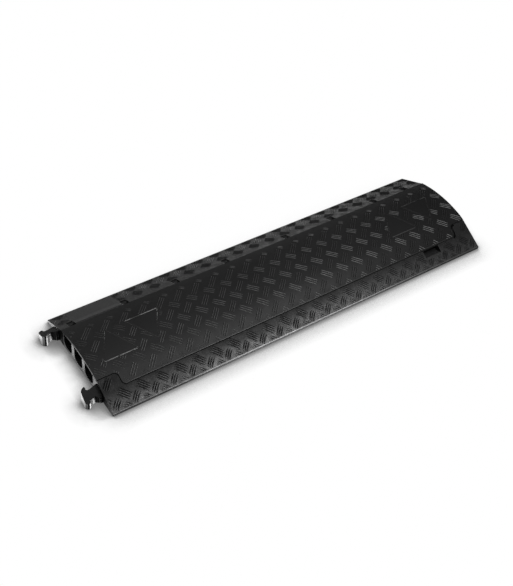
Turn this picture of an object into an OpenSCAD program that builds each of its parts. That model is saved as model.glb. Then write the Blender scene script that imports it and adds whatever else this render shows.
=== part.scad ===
// Three-channel cable protector ramp: a moulded base with U-shaped cable
// channels between two ramps, a hinged lid over the channels, steel hinge
// pins, and two T-plugs that lock one ramp to the next.
// Millimetres. +X runs away from the plugs, +Y towards the hinge side (rear), +Z up.
// The origin is the centre of the base footprint, on the ground.

/* [Overall] */
// Length of the base along the cables, without the plugs
length = 1000; // [940:10:1060]
// Height of each ramp's outer edge above the ground
lip_h = 6; // [5:0.5:7]

/* [Lid] */
// Height of the top of the lid, at the middle
crown_h = 52; // [50:0.5:54]
// Thickness of the lid's skin
lid_t = 5; // [4:0.5:5]
// How far the lid stands proud of the ramps
lid_proud = 1.2; // [0.8:0.2:1.6]
// Depth of the ribs under the lid
rib_d = 3; // [2:0.5:3.5]

/* [Channels] */
// Width of each cable channel
channel_w = 35; // [34:0.5:36]
// Thickness of the floor under the channels
floor_t = 7.5; // [5:0.5:8]
// Radius of the channels' lower corners
channel_r = 13; // [8:1:16]

/* [Hinge] */
// Radius of the hinge pins
pin_r = 2.5; // [2:0.25:3]
// Radius of the lid's hinge barrels
barrel_r = 5.5; // [5:0.25:5.5]
// Width of each hinge barrel along the pin
barrel_w = 14; // [12:0.5:14]
// Lid angle: 0 is closed
lid_angle = 0; // [0:5:115]

/* [Plugs] */
// Clearance round a plug in its socket
plug_gap = 0.6; // [0.4:0.1:0.8]

/* [Hidden] */

$fn = 96;
arch_facets = 1440;               // for the wide, shallow arcs of the lid and deck

lid_colour = [0.10, 0.10, 0.105];
plug_colour = [0.12, 0.12, 0.125];
base_colour = [0.13, 0.13, 0.135];

x0 = -length/2;
x1 = length/2;
cut_x0 = x0 - 1;                  // full-length cutters run past both ends
cut_x1 = x1 + 1;
stretch = length/1000;            // scales the lengthwise spacing

// ramps
half_w = 145;                     // half the width of the footprint
shoulder_y = 76;                  // where the ramps meet the lid's arch
slope = 0.5;                      // rise of both ramps
function ramp_z(y) = lip_h + slope*(half_w - abs(y));

// height of a circle's upper side; centre is [y, z]
function circle_z(centre, y, r) = centre[1] + sqrt(r*r - pow(y - centre[0], 2));

// lid arch
sag = crown_h - ramp_z(shoulder_y) - lid_proud;
arch_r = (shoulder_y*shoulder_y + sag*sag)/(2*sag);
arch_centre = [0, crown_h - arch_r];
arch_in = arch_r - lid_t;
lid_gap = 0.3;                    // air between the lid and the base
deck_r = arch_in - lid_gap;
function arch_z(y, r) = circle_z(arch_centre, y, r);

// plan of the lid's front edge: a deep flap between two short end tabs
tab_y = -76.5;
flap_y = -103;
tab_l = 46.5;                     // length of a tab along X
tab_corner_r = 10;                // outer corner of a tab
flap_corner_r = 8;                // inner corner, where the flap starts
plan_gap = 1;                     // air between the flap and its recess, in plan

// the lid's front rolls down to the ramp on a tighter arc, tangent to the arch
roll_y = -56;
roll_start = [roll_y, arch_z(roll_y, arch_r)];
roll_dir = (roll_start - arch_centre)/arch_r;
roll_chord = [flap_y, ramp_z(flap_y) + lid_proud] - roll_start;
roll_r = -(roll_chord*roll_chord)/(2*(roll_chord*roll_dir));
roll_centre = roll_start - roll_r*roll_dir;
// the two arcs part on this line through the arch's centre
roll_split = [roll_start + 20*roll_dir, roll_start - 20*roll_dir];

// undercut on the lid's rear edge: its top and bottom corners
bevel_top_y = 76.9;
bevel_low_y = 73.9;
bevel_top = [bevel_top_y, arch_z(bevel_top_y, arch_r)];
bevel_low = [bevel_low_y, arch_z(bevel_low_y, arch_in)];
bevel = bevel_top - bevel_low;

// channels
channel_pitch = 46;
middle_y = 2;                     // the middle channel sits this far behind the centre line
channel_ys = [for (i = [-1:1]) i*channel_pitch + middle_y];

// hinge
hinge_y = 92;
hinge_z = 25;
hinge_xs = [-472, -345, -217, -85, 83, 218, 351, 448]*stretch;
pin_l = 22;
ear_x = 13.3;                     // half-width of the solid block round a hinge

// ---- helpers --------------------------------------------------------------

// prism along X from a [y, z] outline
module xprism(outline, from = x0, to = x1)
    translate([from, 0, 0])
    rotate([90, 0, 90])
    linear_extrude(to - from) polygon(outline);

// cylinder along X; centre is [y, z]
module xcyl(centre, r, from, to, facets = $fn)
    translate([from, centre[0], centre[1]])
    rotate([0, 90, 0])
    cylinder(h = to - from, r = r, $fn = facets);

function arc_points(centre, r, start, end, steps = 8) =
    [for (i = [0:steps])
        let (angle = start + (end - start)*i/steps)
        centre + r*[cos(angle), sin(angle)]];

function mirrored(points) =
    [for (i = [len(points) - 1:-1:0]) [-points[i][0], points[i][1]]];

// step from the tab to the flap at the x0 end, in plan, grown by grow
function step_curve(grow) = concat(
    arc_points([x0 + tab_l - tab_corner_r, tab_y - tab_corner_r],
               tab_corner_r - grow, 90, 0),
    arc_points([x0 + tab_l + flap_corner_r, flap_y + flap_corner_r],
               flap_corner_r + grow, 180, 270));

// lid's plan from its front edge to back_y, running past both ends by over
module lid_plan_prism(grow, over, back_y)
    linear_extrude(70)
    polygon(concat(
        [[x0 - over, back_y], [x0 - over, tab_y - grow]],
        step_curve(grow),
        mirrored(step_curve(grow)),
        [[x1 + over, tab_y - grow], [x1 + over, back_y]]));

// ---- lid ------------------------------------------------------------------

// part of a round shell inside the [y, z] outline
module skin_arc(centre, r, outline)
    difference() {
        intersection() {
            xcyl(centre, r, x0, x1, arch_facets);
            xprism(outline);
        }
        xcyl(centre, r - lid_t, cut_x0, cut_x1, arch_facets);
    }

module lid_skin()
    difference() {
        intersection() {
            union() {
                skin_arc(arch_centre, arch_r, concat(roll_split, [[80, 20], [80, 80]]));
                skin_arc(roll_centre, roll_r, concat(roll_split, [[-120, -5], [-120, 60]]));
            }
            lid_plan_prism(grow = 0, over = 1, back_y = 90);
        }
        // undercut rear edge, so it turns clear of the base
        xprism([bevel_low - 3*bevel, bevel_top + bevel, [95, 60], [95, 20]],
               cut_x0, cut_x1);
    }

rib_t = 3;
rib_end_gap = 6;                  // from the long ribs to the lid's ends
long_rib_offset = 8;              // each side of a channel's centre
long_rib_root = 1.5;              // how far the long ribs run up into the skin
cross_rib_half = 16;              // half the cross ribs' length
cross_rib_pitch = 125*stretch;
cross_rib_lift = 0.2;
cross_rib_extra = 1.2;            // height beyond the rib depth

// two long ribs and seven cross ribs over each channel
module lid_ribs()
    for (channel_mid = channel_ys) {
        for (offset_y = [-long_rib_offset, long_rib_offset]) {
            y = channel_mid + offset_y;
            z = arch_z(abs(y) + rib_t/2, arch_in);
            translate([x0 + rib_end_gap, y - rib_t/2, z - rib_d])
                cube([length - 2*rib_end_gap, rib_t, rib_d + long_rib_root]);
        }
        cross_z = arch_z(abs(channel_mid) + cross_rib_half, arch_in) - rib_d + cross_rib_lift;
        for (i = [-3:3])
            translate([i*cross_rib_pitch - rib_t/2, channel_mid - cross_rib_half, cross_z])
                cube([rib_t, 2*cross_rib_half, rib_d + cross_rib_extra]);
    }

arm_front = [68.8, 39.2];         // [y, z] of the arm's upper front corner
arm_rear = [73.2, 38.8];          // [y, z] of its upper rear corner

// arm from the lid's underside down to a barrel, centred on x
module hinge_arm(x) {
    ramp_normal = [slope, 1]/sqrt(1 + slope*slope);
    low = [hinge_y, hinge_z] - barrel_r*ramp_normal;
    from = x - barrel_w/2;
    to = x + barrel_w/2;
    xprism([
        [hinge_y, hinge_z],
        low,
        [arm_front[0], low[1] + slope*(low[0] - arm_front[0])],
        arm_front,
        arm_rear,
        [arm_rear[0], hinge_z + slope*(hinge_y - arm_rear[0])]
    ], from, to);
    xcyl([hinge_y, hinge_z], barrel_r, from, to);
}

barrel_bore_gap = 0.08;

module lid()
    color(lid_colour)
    translate([0, hinge_y, hinge_z])
    rotate([-lid_angle, 0, 0])
    translate([0, -hinge_y, -hinge_z])
    difference() {
        union() {
            lid_skin();
            lid_ribs();
            for (x = hinge_xs) hinge_arm(x);
        }
        xcyl([hinge_y, hinge_z], pin_r + barrel_bore_gap, cut_x0, cut_x1);
    }

// ---- hinge pins -----------------------------------------------------------

module hinge_pins()
    color("silver")
    for (x = hinge_xs)
        xcyl([hinge_y, hinge_z], pin_r, x - pin_l/2, x + pin_l/2);

// ---- plugs ----------------------------------------------------------------

// each plug's place: [shift of the plan along Y, front y and rear y of the sloping
// top, drop of that top below the ramp surface]
front_place = [0, -120, -60, 10];
rear_place = [190.5, 70, 130, 5.5];

// The plans are [x, y], x from the base's end face, y as at the front place.
plug_plan = [
    [0, -103.5], [-3, -103.5], [-3, -102.6], [-6.5, -102.6], [-6.5, -101.2],
    [-13.5, -96], [-20, -98.2], [-26, -99.5], [-27, -103.5], [-30.5, -105.7],
    [-34, -104.5], [-37.7, -100.5], [-37.5, -95], [-36.9, -85], [-36, -79],
    [-33.5, -75.5], [-30, -73.5], [-26.4, -72.3], [-24.8, -74], [-24.8, -78.5],
    [-22.3, -80.3], [-16.5, -80.2], [-8.5, -77.7], [-3.5, -76.5], [0, -76.2],
    // root that drops into the base's end
    [0, -81], [6, -81], [6, -77], [11, -77], [11, -103], [6, -103], [6, -99], [0, -99]];

// socket that takes the next ramp's plug
socket_plan = [
    [-25.2, -100.2], [-25.2, -106.6], [-38.8, -106.6], [-38.8, -71], [-24, -71],
    [-24, -77.8], [-21.8, -79.4], [-16.5, -79.4], [-8, -76.8], [0, -75.4],
    [2, -75.4], [2, -104.1], [-8.8, -104.1], [-14.6, -100.2]];

// slot that holds a plug's root
root_plan = [
    [-2, -80.9], [5.9, -80.9], [5.9, -76.9], [11.1, -76.9],
    [11.1, -103.1], [5.9, -103.1], [5.9, -99.1], [-2, -99.1]];
root_gap = 0.1;                   // air above the root

// a plan at end face x, raised from floor_z to gap above the plug's sloping top
module plug_block(plan, x, place, gap = 0, floor_z = 0) {
    front_y = place[1];
    rear_y = place[2];
    drop = place[3] - gap;
    intersection() {
        translate([x, place[0], floor_z]) linear_extrude(60) polygon(plan);
        xprism([[front_y, floor_z], [front_y, ramp_z(front_y) - drop],
                [rear_y, ramp_z(rear_y) - drop], [rear_y, floor_z]],
               x - 50, x + 50);
    }
}

module connector_front()
    color(plug_colour) plug_block(plug_plan, x0, front_place);

module connector_rear()
    color(plug_colour) plug_block(plug_plan, x0, rear_place);

// ---- base -----------------------------------------------------------------

// wall behind the lid's undercut edge, parallel to it
wall_gap = 0.7;
wall_low = bevel_low + wall_gap*[bevel[1], -bevel[0]]/norm(bevel);
wall_lean = bevel[0]/bevel[1];    // y per z
wall_foot = 3;                    // the wall runs on this far below wall_low
// where the wall meets the rear ramp
wall_y = (wall_low[0] + wall_lean*(ramp_z(0) - wall_low[1]))/(1 + slope*wall_lean);

front_block_y = -shoulder_y - 0.4;
deck_front_y = -shoulder_y - 1.2;
deck_rear_y = 75.5;

module base_block() {
    // front ramp
    xprism([[-half_w, 0], [-half_w, lip_h], [front_block_y, ramp_z(front_block_y)],
            [front_block_y, 0]]);
    // arched deck under the lid
    intersection() {
        xcyl(arch_centre, deck_r, x0, x1, arch_facets);
        xprism([[deck_front_y, 0], [deck_front_y, 60], [deck_rear_y, 60], [deck_rear_y, 0]]);
    }
    // rear ramp
    foot_y = wall_low[0] - wall_lean*wall_foot;
    xprism([[foot_y, 0], [foot_y, wall_low[1] - wall_foot], [wall_y, ramp_z(wall_y)],
            [half_w, lip_h], [half_w, 0]]);
}

// smooth raised panel on the rear ramp
panel_x = [-463.4, -353.6]*stretch;
panel_y = [83, 139];
panel_proud = 0.7;
panel_root = 2;
module ramp_panel()
    xprism([
        [panel_y[0], ramp_z(panel_y[0]) - panel_root],
        [panel_y[0], ramp_z(panel_y[0]) + panel_proud],
        [panel_y[1], ramp_z(panel_y[1]) + panel_proud],
        [panel_y[1], ramp_z(panel_y[1]) - panel_root]
    ], panel_x[0], panel_x[1]);

// U-shaped cut centred on y
module channel(y) {
    flat = channel_w/2 - channel_r;      // half the flat floor's width
    round_z = floor_t + channel_r;
    for (side = [-1, 1])
        xcyl([y + side*flat, round_z], channel_r, cut_x0, cut_x1);
    xprism([[y - channel_w/2, round_z], [y + channel_w/2, round_z],
            [y + channel_w/2, 70], [y - channel_w/2, 70]], cut_x0, cut_x1);
    xprism([[y - flat, floor_t], [y + flat, floor_t],
            [y + flat, round_z + 1], [y - flat, round_z + 1]], cut_x0, cut_x1);
}

// recess that takes the lid's front flap; its floor follows the roll in straight steps
recess_floor_ys = [-106, -86, -68];
recess_rear_y = -57;
module flap_recess()
    intersection() {
        lid_plan_prism(grow = plan_gap, over = 5, back_y = -50);
        xprism(concat(
            [for (y = recess_floor_ys)
                [y, circle_z(roll_centre, y, roll_r - lid_t - lid_gap)]],
            [[recess_rear_y, arch_z(recess_rear_y, deck_r) + 0.1],
             [recess_rear_y, 70], [recess_floor_ys[0], 70]]),
            x0 - 5, x1 + 5);
    }

finger_x = [348, 395]*stretch;
// recess cut into the front ramp
module finger_recess()
    xprism([[-120.5, ramp_z(-120.5)], [-119, 13.5], [-97, 12.5],
            [-97, ramp_z(-97) + 3], [-121.5, ramp_z(-121.5) + 6]],
           finger_x[0], finger_x[1]);

// hollows under the ramps, between cross ribs
pocket_rib_t = 5;
front_pocket_count = 16;
front_pocket_x0 = x0 + 16;
front_pocket_pitch = (x1 - 44 - front_pocket_x0)/front_pocket_count;
finger_margin = 2;                // pockets nearer the finger recess are left solid
module front_pockets()
    for (i = [0:front_pocket_count - 1]) {
        from = front_pocket_x0 + i*front_pocket_pitch;
        to = from + front_pocket_pitch - pocket_rib_t;
        if (to < finger_x[0] - finger_margin || from > finger_x[1] + finger_margin)
            xprism([[-131, -1], [-131, lip_h - 5], [-71, lip_h + 25], [-71, -1]], from, to);
    }

rear_pocket_l = 50;               // rough pocket length, fitted between the hinges
module rear_pockets()
    for (k = [0:len(hinge_xs) - 2]) {
        start = hinge_xs[k] + ear_x;
        span = hinge_xs[k + 1] - ear_x - start;
        count = round(span/rear_pocket_l);
        pocket_l = (span - pocket_rib_t*(count - 1))/count;
        for (i = [0:count - 1]) {
            from = start + i*(pocket_l + pocket_rib_t);
            xprism([[71, -1], [71, lip_h + 25], [80, lip_h + 26], [138, lip_h - 3], [138, -1]],
                   from, from + pocket_l);
        }
    }

// bore on the pin's axis, from near to far along X from x, towards side
module pin_bore(x, side, r, near, far) {
    ends = [x + side*near, x + side*far];
    xcyl([hinge_y, hinge_z], r, min(ends), max(ends));
}

notch_w = barrel_w + 1.4;
notch_y = [68.2, 98.5];
module hinge_cuts()
    for (k = [0:len(hinge_xs) - 1]) {
        x = hinge_xs[k];
        side = k == len(hinge_xs) - 1 ? -1 : 1;      // side the pin goes in from
        translate([x - notch_w/2, notch_y[0], hinge_z - barrel_r - 1])
            cube([notch_w, notch_y[1] - notch_y[0], 60]);
        // close bore round the pin, then a wider one to reach it
        pin_bore(x, side, r = pin_r + 0.02, near = -pin_l/2 - 0.3, far = pin_l/2 + 5);
        pin_bore(x, side, r = pin_r + 0.7, near = ear_x - 0.5, far = ear_x + 24);
    }

module base()
    color(base_colour)
    difference() {
        union() {
            base_block();
            ramp_panel();
        }
        flap_recess();
        for (y = channel_ys) channel(y);
        front_pockets();
        rear_pockets();
        hinge_cuts();
        finger_recess();
        for (place = [front_place, rear_place]) {
            plug_block(socket_plan, x1, place, gap = plug_gap, floor_z = -1);
            plug_block(root_plan, x0, place, gap = root_gap, floor_z = -1);
        }
    }

base();
lid();
hinge_pins();
connector_front();
connector_rear();
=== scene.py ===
"""Black plastic floor ramp with an arched lid, treads rubbed paler and painted with highlights
and shade, and steel hinge pins.

It lies along x, centred on the origin, with its underside on z = 0. The front ramp, with the
lid's flap, is at -y, the rear ramp at +y, and the connectors are at the left end (-x).
Shapes are in millimetres; materials, floor, lights and camera are in metres.
"""
import math
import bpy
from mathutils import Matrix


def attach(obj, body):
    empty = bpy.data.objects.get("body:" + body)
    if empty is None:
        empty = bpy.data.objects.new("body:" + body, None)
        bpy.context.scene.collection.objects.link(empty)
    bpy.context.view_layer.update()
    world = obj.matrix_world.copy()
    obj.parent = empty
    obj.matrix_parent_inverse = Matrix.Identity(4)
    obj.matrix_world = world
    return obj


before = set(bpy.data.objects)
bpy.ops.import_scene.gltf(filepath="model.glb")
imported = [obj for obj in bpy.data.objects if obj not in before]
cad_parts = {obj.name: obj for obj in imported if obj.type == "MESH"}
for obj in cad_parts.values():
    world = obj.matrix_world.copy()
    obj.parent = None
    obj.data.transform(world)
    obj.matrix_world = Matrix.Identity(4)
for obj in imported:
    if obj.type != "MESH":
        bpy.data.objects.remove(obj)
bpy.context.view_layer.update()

from types import SimpleNamespace

import bmesh
import bpy
from mathutils import Matrix, Vector

scene = bpy.context.scene

# ---- sizes shared with the CAD pieces (millimetres) ----
MM = 0.001
X0, X1 = -500.0, 500.0     # left and right ends
HALF = 145.0               # centre line to either ground edge
LIP = 6.0                  # ramp height at the ground edge
SLOPE = 0.5                # ramp rise per unit of y
PROUD = 1.2                # lid surface above the ramp's
CROWN = 52.0               # top of the lid's arch
SHOULDER_Y = 76.0          # where the arch would meet the raised ramp line
ROLL_Y = -56.0             # in front of this the lid rolls over on a tighter arc

# the lid's front edge: a deep flap between two short end tabs, joined by two arcs
TAB_Y, FLAP_Y = -76.5, -103.0
TAB_LENGTH = 36.5
NOTCH_R, FLAP_R = 10.0, 8.0
# arc centres: distance from the end of the lid, y
NOTCH = (TAB_LENGTH, TAB_Y - NOTCH_R)
FLAP = (TAB_LENGTH + NOTCH_R + FLAP_R, FLAP_Y + FLAP_R)


def on_circle(y, centre_y, centre_z, radius):
    """Height and unit normal (y, z) on the upper half of a circle."""
    z = centre_z + math.sqrt(radius ** 2 - (y - centre_y) ** 2)
    return z, ((y - centre_y) / radius, (z - centre_z) / radius)


def ramp_z(y):
    return LIP + SLOPE * (HALF - abs(y))


def arch_circle():
    """Centre y, centre z and radius of the lid's main arch."""
    sag = CROWN - (ramp_z(SHOULDER_Y) + PROUD)
    radius = (SHOULDER_Y ** 2 + sag ** 2) / (2 * sag)
    return 0.0, CROWN - radius, radius


def roll_circle():
    """The arc tangent to the arch at ROLL_Y that ends on the flap's edge."""
    z, (ny, nz) = on_circle(ROLL_Y, *ARCH)
    dy, dz = FLAP_Y - ROLL_Y, ramp_z(FLAP_Y) + PROUD - z
    radius = -(dy ** 2 + dz ** 2) / (2 * (dy * ny + dz * nz))
    return ROLL_Y - radius * ny, z - radius * nz, radius


ARCH = arch_circle()
ROLL = roll_circle()


def lid_surface(y):
    return on_circle(y, *(ROLL if y < ROLL_Y else ARCH))


def ramp_surface(y):
    n = math.hypot(SLOPE, 1)
    side = -1 if y < 0 else 1
    return ramp_z(y), (side * SLOPE / n, 1 / n)


def lid_front(x):
    """y of the lid's front edge at x."""
    d = min(x - X0, X1 - x)
    if d < TAB_LENGTH:
        return TAB_Y
    if d < TAB_LENGTH + NOTCH_R:
        return NOTCH[1] + math.sqrt(NOTCH_R ** 2 - (d - NOTCH[0]) ** 2)
    if d < FLAP[0]:
        return FLAP[1] - math.sqrt(FLAP_R ** 2 - (d - FLAP[0]) ** 2)
    return FLAP_Y


# ---- raised bars ----
# cross-section of a ridge: share of the half width, share of the height
RIDGE_PROFILE = [(-1.0, 0.0), (-0.72, 0.36), (-0.30, 0.84), (0.0, 1.0),
                 (0.30, 0.84), (0.72, 0.36), (1.0, 0.0)]
BAR_SAMPLES = 60      # steps along a bar when it is clipped
SHORTEST_BAR = 3.0
SHADE_STRIP_SHORTER = 4.0   # a strip of painted shade against the bars beside it
SHADE_STRIP_GAP = 0.5       # groove left clear of the painted shade


def add_ridge(bm, path, surface, width, height, taper=2.5, sink=0.35, step=2.6):
    """A rounded ridge along a plan polyline, laid on the surface and narrowing at its ends."""
    points = []
    for (ax, ay), (bx, by) in zip(path, path[1:]):
        n = max(1, int(round(math.hypot(bx - ax, by - ay) / step)))
        points += [(ax + (bx - ax) * i / n, ay + (by - ay) * i / n) for i in range(n)]
    points.append(path[-1])
    total = sum(math.dist(a, b) for a, b in zip(points, points[1:]))
    rings, run = [], 0.0
    for i, (x, y) in enumerate(points):
        if i:
            run += math.dist(points[i - 1], points[i])
        before, after = points[max(0, i - 1)], points[min(len(points) - 1, i + 1)]
        d = math.dist(before, after)
        dx, dy = (after[0] - before[0]) / d, (after[1] - before[1]) / d
        to_end = min(run, total - run)
        full = 1.0
        if to_end < taper:
            full = math.sqrt(max(0.0, 1 - (1 - to_end / taper) ** 2))
        half = width / 2 * max(0.3, full)
        top = height * max(0.04, full)
        section = [(side, share * top) for side, share in RIDGE_PROFILE]
        ring = []
        for side, lift in section + [(1, -sink), (-1, -sink)]:
            px, py = x - dy * side * half, y + dx * side * half
            z, (ny, nz) = surface(py)
            ring.append(bm.verts.new((px * MM, (py + ny * lift) * MM, (z + nz * lift) * MM)))
        rings.append(ring)
    for ring, following in zip(rings, rings[1:]):
        for i in range(len(ring)):
            j = (i + 1) % len(ring)
            bm.faces.new((ring[i], following[i], following[j], ring[j]))
    bm.faces.new(rings[0][::-1])
    bm.faces.new(rings[-1])


def clip_bar(mid_x, mid_y, angle, length, inside):
    """End points of the longest run of a bar's centreline that stays inside, or None."""
    ca, sa = math.cos(angle), math.sin(angle)
    best, start = (0.0, 0.0), None
    for i in range(BAR_SAMPLES + 2):
        t = -length / 2 + length * i / BAR_SAMPLES
        ok = i <= BAR_SAMPLES and inside(mid_x + ca * t, mid_y + sa * t)
        if ok and start is None:
            start = t
        if not ok and start is not None:
            end = -length / 2 + length * (i - 1) / BAR_SAMPLES
            if end - start > best[1] - best[0]:
                best = (start, end)
            start = None
    if best[1] - best[0] < SHORTEST_BAR:
        return None
    return [(mid_x + ca * t, mid_y + sa * t) for t in best]


def add_groups(bm, groups, shift, surface, inside, width, height, painted_shade=None):
    """Groups of parallel bars, moved by shift in x; painted_shade takes the strips of painted
    shade beside the bars.
    """
    for x, y, angle, count, spacing, length in groups:
        mid_x, mid_y = X0 + x + shift, y - HALF

        def line_at(offset, line_length):
            return clip_bar(mid_x - math.sin(angle) * offset, mid_y + math.cos(angle) * offset,
                            angle, line_length, inside)

        for i in range(count):
            line = line_at((i - (count - 1) / 2) * spacing, length)
            if line:
                add_ridge(bm, line, surface, width, height)
        if painted_shade is None:
            continue
        # strips painted dark as shade between and beside the bars
        for i in range(1, count + 1):
            line = line_at((i - count / 2) * spacing, length - SHADE_STRIP_SHORTER)
            if line:
                add_ridge(painted_shade, line, surface, width=spacing - width - SHADE_STRIP_GAP,
                          height=0.10, taper=2.0, sink=0.25, step=7.0)


def mesh_object(name, bm, material, body):
    """A smooth mesh with the given material, riding on a CAD body."""
    bmesh.ops.recalc_face_normals(bm, faces=bm.faces)
    me = bpy.data.meshes.new(name)
    bm.to_mesh(me)
    bm.free()
    for p in me.polygons:
        p.use_smooth = True
    o = bpy.data.objects.new(name, me)
    scene.collection.objects.link(o)
    me.materials.append(material)
    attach(o, body)


# ---- shader helpers ----
class Shader:
    """Builds nodes in the tree of a material or world."""

    def __init__(self, owner):
        owner.use_nodes = True
        self.tree = owner.node_tree

    def feed(self, socket, value):
        if isinstance(value, bpy.types.NodeSocket):
            self.tree.links.new(value, socket)
        else:
            socket.default_value = value

    def node(self, kind, inputs=None, **attrs):
        n = self.tree.nodes.new("ShaderNode" + kind)
        for name, value in attrs.items():
            setattr(n, name, value)
        for key, value in (inputs or {}).items():
            self.feed(n.inputs[key], value)
        return n

    def math(self, op, a, b=0.0):
        return self.node("Math", {0: a, 1: b}, operation=op).outputs[0]

    def times(self, a, *factors):
        for b in factors:
            a = self.math("MULTIPLY", a, b)
        return a

    def plus(self, a, *terms):
        for b in terms:
            a = self.math("ADD", a, b)
        return a

    def remap(self, value, over, to=(0.0, 1.0), smooth=False):
        """Carry the range `over` onto the range `to`, clamped."""
        return self.node("MapRange", {
            "Value": value, "From Min": over[0], "From Max": over[1],
            "To Min": to[0], "To Max": to[1],
        }, interpolation_type="SMOOTHSTEP" if smooth else "LINEAR").outputs[0]

    def switch(self, mask, off, on):
        """A number that goes from off to on with the mask."""
        return self.remap(mask, over=(0.0, 1.0), to=(off, on))

    def mix(self, fac, a, b):
        """Mix two colours."""
        return self.node("Mix", {0: fac, 6: a, 7: b}, data_type="RGBA").outputs[2]

    def lerp(self, fac, a, b):
        """Mix two numbers."""
        return self.node("Mix", {0: fac, 2: a, 3: b}).outputs[0]

    def split(self, vector):
        return self.node("SeparateXYZ", {0: vector}).outputs

    def tone_ramp(self, value, stops):
        """A ramp of greys; each stop is position, brightness."""
        ramp = self.node("ValToRGB", {0: value})
        elements = ramp.color_ramp.elements
        for e, (place, _) in zip(elements, (stops[0], stops[-1])):
            e.position = place
        for place, _ in stops[1:-1]:
            elements.new(place)
        for e, (_, v) in zip(elements, stops):
            e.color = (v, v, v, 1)
        return ramp.outputs[0]


class Surface(Shader):
    """A Principled material in object coordinates."""

    def __init__(self, name):
        self.mat = bpy.data.materials.new(name)
        super().__init__(self.mat)
        self.bsdf = self.tree.nodes["Principled BSDF"]
        self.co = self.node("TexCoord").outputs["Object"]

    def noise(self, scale, detail=3.0, rough=0.5, distortion=0.0, vector=None, output=0):
        return self.node("TexNoise", {
            "Vector": vector or self.co, "Scale": scale, "Detail": detail,
            "Roughness": rough, "Distortion": distortion}).outputs[output]

    def axis(self, i):
        return self.split(self.co)[i]

    def facing(self):
        """Components of the true normal."""
        return self.split(self.node("NewGeometry").outputs["True Normal"])

    def bump(self, height, distance, strength, normal=None):
        inputs = {"Height": height, "Distance": distance, "Strength": strength}
        if normal is not None:
            inputs["Normal"] = normal
        return self.node("Bump", inputs).outputs[0]

    def edge(self, radius):
        return self.node("Bevel", {"Radius": radius}, samples=4).outputs[0]

    def set(self, name, value):
        self.feed(self.bsdf.inputs[name], value)


def grey(v):
    return (v, v, v * 1.01, 1.0)


END_FACE = (0.75, 0.97)        # x of the normal over which a face counts as a right end
LEFT_END_FACE = (-0.75, -0.97)


# ---- lid materials: satin black plastic ----
def finish_lid(m, fine, fine_strength, edge=None):
    m.set("IOR", 1.47)
    waves = m.bump(m.noise(scale=26.0), distance=0.0006, strength=0.25, normal=edge)
    m.set("Normal", m.bump(fine, distance=0.00012, strength=fine_strength, normal=waves))
    return m.mat


def lid_skin():
    """The flap's front edge is glossier and painted paler as a highlight line; the end faces stay
    dull.
    """
    m = Surface("lid_skin_plastic")
    cloud = m.noise(scale=9.0, detail=4.0, rough=0.6)
    fine = m.noise(scale=620.0, rough=0.6)
    smear = m.noise(scale=40.0, detail=5.0, rough=0.7, distortion=0.6)
    ends = m.remap(m.math("ABSOLUTE", m.facing()[0]), over=END_FACE)
    lip = m.remap(m.axis(1), over=(-0.1012, -0.1024))
    left = m.mix(m.remap(cloud, over=(0.35, 0.7)), grey(0.0135), grey(0.0175))
    body = m.mix(m.remap(m.axis(0), over=(0.10, 0.45)), left, grey(0.0115))
    # painted highlight: the flap's front edge is paler
    m.set("Base Color", m.mix(lip, body, grey(0.034)))
    rough = m.plus(m.remap(smear, over=(0.3, 0.75), to=(0.42, 0.52)),
                   m.remap(fine, over=(0.3, 0.7), to=(-0.03, 0.04)))
    m.set("Roughness", m.math("SUBTRACT", rough, m.times(lip, 0.12)))
    # the shine falls off to the right and to the rear
    shine = m.times(m.remap(m.axis(0), over=(0.00, 0.45), to=(0.30, 0.14)),
                    m.remap(m.axis(1), over=(0.015, 0.060), to=(1.0, 0.70)))
    m.set("Specular IOR Level", m.plus(m.times(m.switch(ends, off=1.0, on=0.14), shine),
                                       m.times(lip, 0.15)))
    return finish_lid(m, fine, fine_strength=0.6, edge=m.edge(0.0007))


def lid_raised(kind, far_x, along, across):
    """Start of a pale raised material with painted highlight: its tone left to far_x (along),
    front to rear (across).
    """
    m = Surface(f"lid_{kind}_plastic")
    pale = m.times(m.remap(m.axis(0), over=(-0.42, far_x), to=along),
                   m.remap(m.axis(1), over=(-0.085, 0.040), to=across))
    return m, pale, m.noise(scale=130.0, detail=4.0, rough=0.65)


def finish_raised(m, tone, rough, specular):
    m.set("Base Color", m.node("CombineColor", {0: tone, 1: tone, 2: tone}).outputs[0])
    m.set("Roughness", rough)
    m.set("Specular IOR Level", specular)
    return finish_lid(m, m.noise(scale=620.0, rough=0.6), fine_strength=0.3)


def lid_bars(kind, far_x, along, painted_dark_flank):
    """Bars rubbed paler with a painted highlight along x; painted shade on the flank whose
    normal's x passes through painted_dark_flank.
    """
    m, pale, rub = lid_raised(kind, far_x, along, across=(1.4, 0.50))
    # painted shade: the flank facing that way is painted near-black
    painted_shade = m.remap(m.facing()[0], over=painted_dark_flank)
    rub_and_highlight = m.times(pale, m.remap(rub, over=(0.35, 0.65), to=(0.65, 1.15)))
    shade_tone = m.remap(m.axis(0), over=(-0.1, 0.3), to=(0.002, 0.008))
    return finish_raised(m, m.lerp(painted_shade, rub_and_highlight, shade_tone),
                         rough=m.remap(rub, over=(0.3, 0.7), to=(0.40, 0.26)),
                         specular=m.switch(painted_shade, off=0.5, on=0.05))


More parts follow.
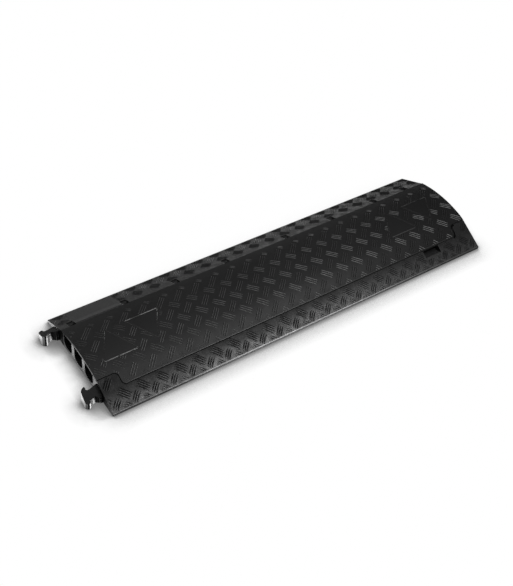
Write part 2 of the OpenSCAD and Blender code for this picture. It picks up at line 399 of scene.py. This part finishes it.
def lid_mark():
    """The triangles: only edges that run along x get a painted highlight, fading to the right and
    broken by noise; the other edges are painted darker as shade.
    """
    m, pale, rub = lid_raised("mark", far_x=0.42, along=(0.190, 0.045), across=(1.0, 1.0))
    painted_shade = m.math("MAXIMUM", m.remap(m.math("ABSOLUTE", m.facing()[0]), over=(0.06, 0.20)),
                   m.remap(m.noise(scale=48.0, detail=2.0), over=(0.55, 0.60)))
    shade_tone = m.remap(m.axis(0), over=(-0.1, 0.35), to=(0.026, 0.017))
    shine = m.times(m.switch(painted_shade, off=0.9, on=0.5),
                    m.remap(m.axis(0), over=(-0.1, 0.35), to=(1.0, 0.4)))
    return finish_raised(m, m.lerp(painted_shade, pale, shade_tone), specular=shine,
                         rough=m.remap(rub, over=(0.4, 0.6), to=(0.30, 0.14)))


# ---- base materials: leathery moulded plastic ----
def panel_mask(m, x, y, x_range, y_range, fade):
    """A rectangle in plan, fading in from its outline."""
    def span(value, limits):
        low, high = limits
        return m.times(m.remap(value, over=(low, low + fade)),
                       m.remap(value, over=(high, high - fade)))
    return m.times(span(x, x_range), span(y, y_range))


def base_masks(m):
    """The places and noises that the base's colour, gloss and grain share."""
    x, y, face = m.axis(0), m.axis(1), m.facing()
    clouds = m.noise(scale=55.0, detail=5.0, rough=0.62, distortion=0.4)
    # paler, glossier band along the ground edge of the front ramp, fading towards the right end
    ragged_y = m.plus(y, m.remap(clouds, over=(0.3, 0.7), to=(-0.006, 0.006)))
    reach = m.times(m.remap(x, over=(0.12, 0.42), to=(1.0, 0.52)),
                    m.remap(ragged_y, over=(-0.105, -0.137)))
    # the ground edge itself is painted pale as a highlight and made glossier, most of all in the
    # middle of the run
    rub_and_highlight = m.times(m.remap(x, over=(-0.36, -0.20), to=(0.25, 1.0)),
                     m.remap(x, over=(0.05, 0.30), to=(1.0, 0.20)),
                     m.remap(x, over=(0.30, 0.46), to=(1.0, 0.4)))
    # the smooth panel on the rear ramp, its border towards the lid and its inner field
    inside = panel_mask(m, x, y, (-0.4636, -0.3534), (0.0828, 0.1392), fade=0.0004)
    return SimpleNamespace(
        x=x, y=y, face=face, clouds=clouds, reach=reach, inside=inside,
        grain=m.noise(scale=300.0, detail=4.0, rough=0.65),
        big=m.noise(scale=14.0, rough=0.55),
        lip=m.times(m.remap(y, over=(-0.1428, -0.1440)), rub_and_highlight),
        border=m.times(inside, m.remap(y, over=(0.096, 0.094))),
        field=panel_mask(m, x, y, (-0.4545, -0.3625), (0.0985, 0.1330), fade=0.0005),
        # left end faces, painted paler as if lit, and the parts of them in the plugs' shade,
        # painted near-black as shadow
        ends=m.times(m.remap(face[0], over=LEFT_END_FACE), m.remap(x, over=(-0.40, -0.45))),
        shaded=m.times(m.remap(y, over=(-0.094, -0.088)),
                       m.math("MAXIMUM", m.remap(y, over=(0.070, 0.064)),
                              m.remap(y, over=(0.088, 0.092)))))


def flank_painted_shade(m, k):
    """Painted shade on the bars' flank that faces +y, measured against the ramp's own tilt."""
    ramp_tilt = m.remap(k.y, over=(-0.01, 0.01), to=(-0.447, 0.447))
    tilt = m.math("SUBTRACT", k.face[1], ramp_tilt)
    return m.times(m.remap(tilt, over=(-0.01, 0.10)),
                   m.remap(k.x, over=(-0.05, 0.35), to=(1.0, 0.45)))


def base_colour(m, k, kind, painted_shade):
    # bars kept black, as painted shade
    if kind == "painted_dark":
        body = m.mix(m.noise(scale=90.0), grey(0.009), grey(0.018))
    else:
        body = m.mix(m.remap(k.big, over=(0.3, 0.7)), grey(0.008), grey(0.012))
        pale_band = m.times(m.remap(k.clouds, over=(0.40, 0.62)), k.reach)
        body = m.mix(m.times(pale_band, 0.8), body, grey(0.060))
    if kind == "worn_shaded":
        pale = m.mix(m.remap(k.x, over=(0.05, 0.40)),
                     m.mix(k.reach, grey(0.100), grey(0.360)), grey(0.030))
        rub = m.noise(scale=130.0, detail=4.0, rough=0.65)
        body = m.mix(m.remap(rub, over=(0.3, 0.55)), body, pale)
        # painted shade on the bars' flank that faces +y
        body = m.mix(painted_shade, body, grey(0.002))
    body = m.mix(k.inside, body, m.mix(k.border, grey(0.013), grey(0.033)))
    # painted highlight along the ground edge
    body = m.mix(k.lip, body, grey(0.55))
    # end faces painted paler as if lit, near-black where the plugs' shadow is painted
    return m.mix(k.ends, body, m.mix(k.shaded, grey(0.004), grey(0.032)))


def base_roughness(m, k):
    rough = m.plus(m.remap(k.clouds, over=(0.35, 0.65), to=(0.54, 0.30)),
                   m.remap(k.grain, over=(0.3, 0.7), to=(-0.05, 0.06)),
                   m.switch(k.reach, off=0.08, on=-0.04))
    rough = m.math("SUBTRACT", rough, m.times(k.lip, 0.10))
    speckle = m.remap(m.noise(scale=260.0, rough=0.7), over=(0.35, 0.65), to=(0.02, 0.14))
    smooth = m.plus(m.remap(k.big, over=(0.3, 0.7), to=(0.44, 0.40)),
                    m.times(k.border, -0.08), m.times(k.field, speckle))
    return m.lerp(k.inside, rough, smooth)


def base_specular(m, k, kind, painted_shade):
    rear = m.times(m.remap(k.y, over=(0.077, 0.081)),
                   m.remap(k.x, over=(0.12, 0.42), to=(0.33, -0.03)))
    spec = m.plus(m.switch(k.reach, off=0.23, on=0.95 if kind == "worn_shaded" else 0.70), rear)
    if kind == "worn_shaded":
        spec = m.times(spec, m.switch(painted_shade, off=1.0, on=0.06))
    if kind == "painted_dark":
        spec = m.times(spec, m.remap(k.clouds, over=(0.35, 0.65), to=(0.45, 0.85)))
    dull = m.times(k.ends, m.switch(k.shaded, off=0.95, on=0.0))
    return m.times(spec, m.math("SUBTRACT", 1.0, dull))


def base_normal(m, k, worn_shaded):
    """Wandering cells broken up by noise, fading on steep faces and the smooth panel."""
    drift = m.node("VectorMath", {0: m.noise(scale=180.0, detail=2.0, output=1),
                                  "Scale": 0.004}, operation="SCALE").outputs[0]
    warp = m.node("VectorMath", {0: m.co, 1: drift}, operation="ADD").outputs[0]
    cells = m.node("TexVoronoi", {"Vector": warp, "Scale": 190.0},
                   feature="DISTANCE_TO_EDGE").outputs["Distance"]
    cells = m.remap(cells, over=(0.0, 0.30), smooth=True)
    top = m.times(m.remap(k.face[2], over=(0.55, 0.85)), m.switch(k.inside, off=1.0, on=0.1))
    normal = m.bump(m.times(k.clouds, m.switch(k.inside, off=1.0, on=0.3)), distance=0.0016,
                    strength=0.4, normal=None if worn_shaded else m.edge(0.0009))
    normal = m.bump(cells, distance=0.0006, normal=normal,
                    strength=m.switch(top, off=0.03, on=0.1 if worn_shaded else 0.25))
    return m.bump(k.grain, distance=0.0004, normal=normal,
                  strength=m.switch(top, off=0.05, on=0.15 if worn_shaded else 0.3))


def base_material(kind):
    """kind is skin, worn_shaded (rubbed bars with painted shade on one flank) or painted_dark
    (bars kept black and duller, as painted shade).
    """
    m = Surface(f"base_{kind}_plastic")
    k = base_masks(m)
    painted_shade = flank_painted_shade(m, k) if kind == "worn_shaded" else None
    m.set("Base Color", base_colour(m, k, kind, painted_shade))
    m.set("Roughness", base_roughness(m, k))
    m.set("Specular IOR Level", base_specular(m, k, kind, painted_shade))
    m.set("IOR", 1.50)
    m.set("Normal", base_normal(m, k, kind == "worn_shaded"))
    return m.mat


# ---- other materials ----
def plug_material():
    m = Surface("plug_plastic")
    cloud = m.noise(scale=60.0, detail=4.0, rough=0.6)
    fine = m.noise(scale=500.0, detail=2.0)
    up = m.facing()[2]
    ends = m.remap(m.facing()[0], over=LEFT_END_FACE)
    body = m.mix(m.remap(cloud, over=(0.35, 0.7)), grey(0.005), grey(0.008))
    # faces towards -x painted paler, as if lit
    m.set("Base Color", m.mix(ends, body, grey(0.032)))
    m.set("Roughness", m.plus(m.remap(up, over=(0.2, 0.8), to=(0.34, 0.62)),
                              m.remap(cloud, over=(0.3, 0.7), to=(-0.04, 0.06))))
    m.set("IOR", 1.5)
    m.set("Specular IOR Level", m.remap(up, over=(0.2, 0.8), to=(0.5, 0.30)))
    soft = m.bump(cloud, distance=0.0005, strength=0.2, normal=m.edge(0.0009))
    m.set("Normal", m.bump(fine, distance=0.00008, strength=0.5, normal=soft))
    return m.mat


def steel_material():
    """Steel with fine lines drawn out along x."""
    m = Surface("steel")
    stretch = m.node("Mapping", {0: m.co, "Scale": (0.04, 1.0, 1.0)}).outputs[0]
    lines = m.noise(scale=1800.0, rough=0.6, vector=stretch)
    m.set("Base Color", m.mix(m.remap(lines, over=(0.3, 0.7)),
                              (0.42, 0.42, 0.43, 1), (0.62, 0.62, 0.63, 1)))
    m.set("Metallic", 1.0)
    m.set("Roughness", m.remap(lines, over=(0.3, 0.7), to=(0.22, 0.40)))
    m.set("Normal", m.bump(lines, distance=0.00003, strength=0.5))
    return m.mat


def matt_material(name, scale, detail, tones, roughness, specular, distance, strength):
    """Matt black with a fine grit."""
    m = Surface(name)
    grit = m.noise(scale=scale, detail=detail, rough=0.6)
    m.set("Base Color", m.mix(m.remap(grit, over=(0.35, 0.65)), *map(grey, tones)))
    m.set("Roughness", m.remap(grit, over=(0.3, 0.7), to=roughness))
    m.set("Specular IOR Level", specular)
    m.set("Normal", m.bump(grit, distance=distance, strength=strength))
    return m.mat


mats = {
    # dark strips painted as shade in the grooves between the bars
    "painted_shade": matt_material("groove_painted_shade", scale=420.0, detail=4.0, tones=(0.003, 0.009),
                           roughness=(0.60, 0.80), specular=0.14,
                           distance=0.00015, strength=0.5),
    "lid": lid_skin(),
    # one slant is rubbed paler with a painted highlight at the left end, the other at the right
    "rise": lid_bars("rise", far_x=0.42, along=(0.150, 0.040), painted_dark_flank=(-0.04, -0.20)),
    "fall": lid_bars("fall", far_x=0.05, along=(0.095, 0.220), painted_dark_flank=(0.04, 0.20)),
    "mark": lid_mark(),
    "base": base_material("skin"),
    "worn_shaded": base_material("worn_shaded"),
    "painted_dark": base_material("painted_dark"),
    "plug": plug_material(),
    "steel": steel_material(),
    # matt strip painted dark as shade in the gap beside the lid's edge
    "gap_shade": matt_material("gap_shade_matt_plastic", scale=900.0, detail=3.0,
                          tones=(0.0015, 0.0035), roughness=(0.85, 0.95), specular=0.08,
                          distance=0.00008, strength=0.4),
}
for node, key in (("base", "base"), ("lid", "lid"), ("hinge_pins", "steel"),
                  ("connector_front", "plug"), ("connector_rear", "plug")):
    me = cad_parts[node].data
    me.materials.clear()
    me.materials.append(mats[key])

# ---- tread layout ----
RISE, FALL = math.radians(46), math.radians(-43)   # the bars' two slants
LID_PITCH, RAMP_PITCH = 44.1, 44.2                 # x from one repeat to the next
REPEATS = range(-1, 23)
# groups of bars: x from the left end, y from the front ground edge, slant,
# number of bars, spacing, bar length
LID_RISE = [(35.5, y, RISE, 3, 4.7, length)
            for y, length in ((59, 30), (99, 30), (140, 32), (181, 38))]
LID_FALL = [(58.8, y, FALL, 3, 5.2, length)
            for y, length in ((39.8, 28), (80.3, 29), (120.3, 29), (160.8, 25))]
LID_SHORT = [(57.5, 200, FALL, 2, 4.8, 13)]
FRONT = [(39.5, 25.5, FALL, 4, 4.4, 30), (17, 12.5, RISE, 3, 4.4, 25),
         (39.5, -3, FALL, 4, 4.4, 30), (17, 54, RISE, 3, 4.4, 27)]
REAR_RISE = [(42, 267.5, RISE, 4, 4.2, 25)]
REAR_FALL = [(20, 251, FALL, 4, 4.6, 24), (20, 283, FALL, 4, 4.6, 24)]
# raised plain triangles on the lid: three plan corners each
TRIANGLES = [
    [(-467, -48), (-388, -48), (-427, 24)], [(-380, 27), (-300, 27), (-340, -45)],
    [(292, -47), (372, -47), (332, 25)], [(382, 25), (460, 25), (421, -45)]]
TRIANGLE_CLEAR = 1.1       # bars keep out of the triangles scaled up by this
HINGES_X = [-472, -345, -217, -85, 83, 218, 351, 448]
HINGE_HALF, HINGE_REAR_Y = 10.5, 102   # bar-free notch at each hinge
LID_END, RAMP_END = 3, 2.5             # bar-free margins at the ends
LID_FRONT_GAP, FLAP_GAP, GROUND_GAP = 0.4, 2.2, 1.6
LID_REAR_Y, REAR_RAMP_Y = 64, 80.5     # where the lid's bars end, where the rear ramp's start


def in_triangle(x, y):
    for corners in TRIANGLES:
        gx, gy = (sum(values) / 3 for values in zip(*corners))
        p = [(gx + (cx - gx) * TRIANGLE_CLEAR, gy + (cy - gy) * TRIANGLE_CLEAR)
             for cx, cy in corners]
        sides = [(bx - ax) * (y - ay) - (by - ay) * (x - ax)
                 for (ax, ay), (bx, by) in zip(p, p[1:] + p[:1])]
        if all(v > 0 for v in sides) or all(v < 0 for v in sides):
            return True
    return False


def on_lid(x, y):
    return (X0 + LID_END < x < X1 - LID_END and lid_front(x) + LID_FRONT_GAP < y < LID_REAR_Y
            and not in_triangle(x, y))


def on_front(x, y):
    bare = 344 < x < 399 and y > -125   # plain patch below the flap
    return (X0 + RAMP_END < x < X1 - RAMP_END
            and -HALF + GROUND_GAP < y < lid_front(x) - FLAP_GAP and not bare)


def on_rear(x, y):
    on_panel = -467 < x < -350
    return (X0 + RAMP_END < x < X1 - RAMP_END and REAR_RAMP_Y < y < HALF - GROUND_GAP
            and not on_panel
            and not any(abs(x - h) < HINGE_HALF and y < HINGE_REAR_Y for h in HINGES_X))


def build_lid_tread():
    fall, rise, marks = bmesh.new(), bmesh.new(), bmesh.new()
    for k in REPEATS:
        place = (LID_PITCH * k, lid_surface, on_lid)
        add_groups(rise, LID_RISE, *place, width=1.9, height=0.76)
        add_groups(fall, LID_FALL, *place, width=1.6, height=0.76)
        add_groups(fall, LID_SHORT, *place, width=2.2, height=0.7)
    for corners in TRIANGLES:
        for a, b in zip(corners, corners[1:] + corners[:1]):
            add_ridge(marks, [a, b], lid_surface, width=2.3, height=0.62, taper=0.8)
    mesh_object("lid_tread_fall", fall, mats["fall"], "lid")
    mesh_object("lid_tread_rise", rise, mats["rise"], "lid")
    mesh_object("lid_marks", marks, mats["mark"], "lid")


def build_ramp_tread():
    worn_shaded, painted_dark, painted_shade = bmesh.new(), bmesh.new(), bmesh.new()
    for k in REPEATS:
        place = (RAMP_PITCH * k, ramp_surface)
        add_groups(worn_shaded, FRONT, *place, on_front, width=2.4, height=1.15, painted_shade=painted_shade)
        add_groups(worn_shaded, REAR_RISE, *place, on_rear, width=2.4, height=0.9)
        # the rear ramp's falling bars are kept black as painted shade
        add_groups(painted_dark, REAR_FALL, *place, on_rear, width=2.9, height=1.3)
    mesh_object("base_tread", worn_shaded, mats["worn_shaded"], "base")
    mesh_object("base_tread_rear", painted_dark, mats["painted_dark"], "base")
    mesh_object("base_painted_shade", painted_shade, mats["painted_shade"], "base")


def build_gap_shade():
    """Strip painted dark as the gap's shade beside the lid's edge, in the right-hand corner of
    the flap's recess.
    """
    gap = 3.1   # from the lid's edge to the strip's centreline
    path = [(X1 - 33.0, TAB_Y - gap), (X1 - TAB_LENGTH, TAB_Y - gap)]
    for (end, y), radius, side, degrees in ((NOTCH, NOTCH_R - gap, 1, range(75, -1, -15)),
                                            (FLAP, FLAP_R + gap, -1, range(0, 76, 15))):
        for angle in map(math.radians, degrees):
            path.append((X1 - end - side * radius * math.cos(angle),
                         y + side * radius * math.sin(angle)))
    bm = bmesh.new()
    add_ridge(bm, path, ramp_surface, width=4.2, height=0.25, taper=1.5, step=1.2)
    mesh_object("gap_shade_strip", bm, mats["gap_shade"], "base")


build_lid_tread()
build_ramp_tread()
build_gap_shade()


# ---- floor ----
def side_shadow(m, direction, stops):
    """Soft contact shade on one side of the object: an occlusion probe leaning towards it."""
    lean = m.node("CombineXYZ", dict(enumerate(Vector(direction).normalized())))
    ao = m.node("AmbientOcclusion", {"Distance": 0.045, "Normal": lean.outputs[0]}, samples=8)
    return m.tone_ramp(ao.outputs["AO"], stops)


def floor_material():
    """A glowing sheet: white to the camera with painted contact shade beside the object, and
    painted bright patches in the plastic's reflections.
    """
    mat = bpy.data.materials.new("floor")
    m = Shader(mat)
    m.tree.nodes.clear()
    front = side_shadow(m, (0.0, 0.9, 0.44), [(0.30, 0.19), (0.60, 0.36), (0.75, 0.56),
                                              (0.82, 0.78), (0.89, 0.93), (1.0, 1.0)])
    left = side_shadow(m, (0.9, 0.0, 0.44), [(0.38, 0.14), (0.55, 0.40), (0.70, 0.70),
                                             (0.80, 0.89), (0.88, 0.97), (1.0, 1.0)])
    shade = m.math("MINIMUM", front, left)
    incoming = m.node("NewGeometry").outputs["Incoming"]

    def lobe(direction, over, strength):
        """Brightness for rays that travel near one direction; over is in cosines."""
        d = m.node("VectorMath", {0: incoming, 1: -Vector(direction).normalized()},
                   operation="DOT_PRODUCT")
        return m.remap(d.outputs["Value"], over=over, to=(0.0, strength), smooth=True)

    even = 0.13
    sheen = m.plus(lobe((-0.62, 0.40, -0.68), over=(0.72, 0.95), strength=7.0),
                   lobe((0.80, 0.50, -0.33), over=(0.80, 0.97), strength=2.2), even)
    # a glint from the sheet beyond the left end
    beyond = m.remap(m.split(m.node("NewGeometry").outputs["Position"])[0],
                     over=(-0.47, -0.50))
    glint = m.times(lobe((0.70, -0.14, -0.718), over=(0.935, 0.985), strength=9.0), beyond)
    seen = m.node("LightPath").outputs["Is Camera Ray"]
    gain = m.lerp(seen, m.plus(m.times(shade, sheen), glint), shade)
    glow = m.node("Emission", {"Color": gain, "Strength": 1.0})
    m.node("OutputMaterial", {"Surface": glow.outputs[0]})
    return mat


def build_floor():
    bm = bmesh.new()
    bmesh.ops.create_grid(bm, x_segments=1, y_segments=1, size=30)
    me = bpy.data.meshes.new("floor")
    bm.to_mesh(me)
    bm.free()
    floor = bpy.data.objects.new("floor", me)
    floor.location = (0, 0, -0.0002)
    scene.collection.objects.link(floor)
    me.materials.append(floor_material())


# ---- world, lights and camera ----
def build_world():
    """White to the camera; to everything else a grey dome that is bright overhead."""
    scene.world = bpy.data.worlds.new("studio")
    w = Shader(scene.world)
    height = w.split(w.node("TexCoord").outputs["Generated"])[2]
    dome = w.tone_ramp(height, [(0.0, 0.46), (0.35, 0.12), (0.88, 0.13), (0.95, 1.5)])
    seen = w.node("LightPath").outputs["Is Camera Ray"]
    background = w.tree.nodes["Background"].inputs
    w.feed(background["Color"], w.mix(seen, dome, (1, 1, 1, 1)))
    w.feed(background["Strength"], 1.0)


def area(name, location, target, size, power):
    data = bpy.data.lights.new(name, "AREA")
    data.shape = "RECTANGLE"
    data.size, data.size_y = size
    data.energy = power
    o = bpy.data.objects.new(name, data)
    o.location = location
    o.rotation_mode = "QUATERNION"
    aim = Vector(target) - Vector(location)
    o.rotation_quaternion = aim.to_track_quat("-Z", "Y")
    scene.collection.objects.link(o)


def build_camera():
    data = bpy.data.cameras.new("camera")
    camera = bpy.data.objects.new("camera", data)
    # columns: the camera's right, up and backward directions, and its place
    camera.matrix_world = Matrix((
        (0.82215184, 0.35349328, -0.44621615, -1.05302),
        (-0.56166351, 0.63139847, -0.53466818, -1.19548),
        (0.09273859, 0.69020176, 0.71764969, 1.59954),
        (0, 0, 0, 1)))
    data.sensor_width = 36
    data.sensor_fit = "AUTO"
    data.lens = 60.7001
    data.clip_start, data.clip_end = 0.05, 100
    scene.collection.objects.link(camera)
    scene.camera = camera


build_floor()
build_world()
# overhead box that the front ramp mirrors
area("box_top", location=(0.55, -0.655, 1.5), target=(0.0, -0.12, 0), size=(0.95, 0.5), power=9.7)
# weak strip at the back that draws the raised bars
area("strip_back", location=(-0.6, 2.4, 0.85), target=(-0.1, 0.0, 0.04), size=(0.8, 0.3), power=6)
build_camera()
scene.view_settings.view_transform = "Standard"
scene.view_settings.look = "None"
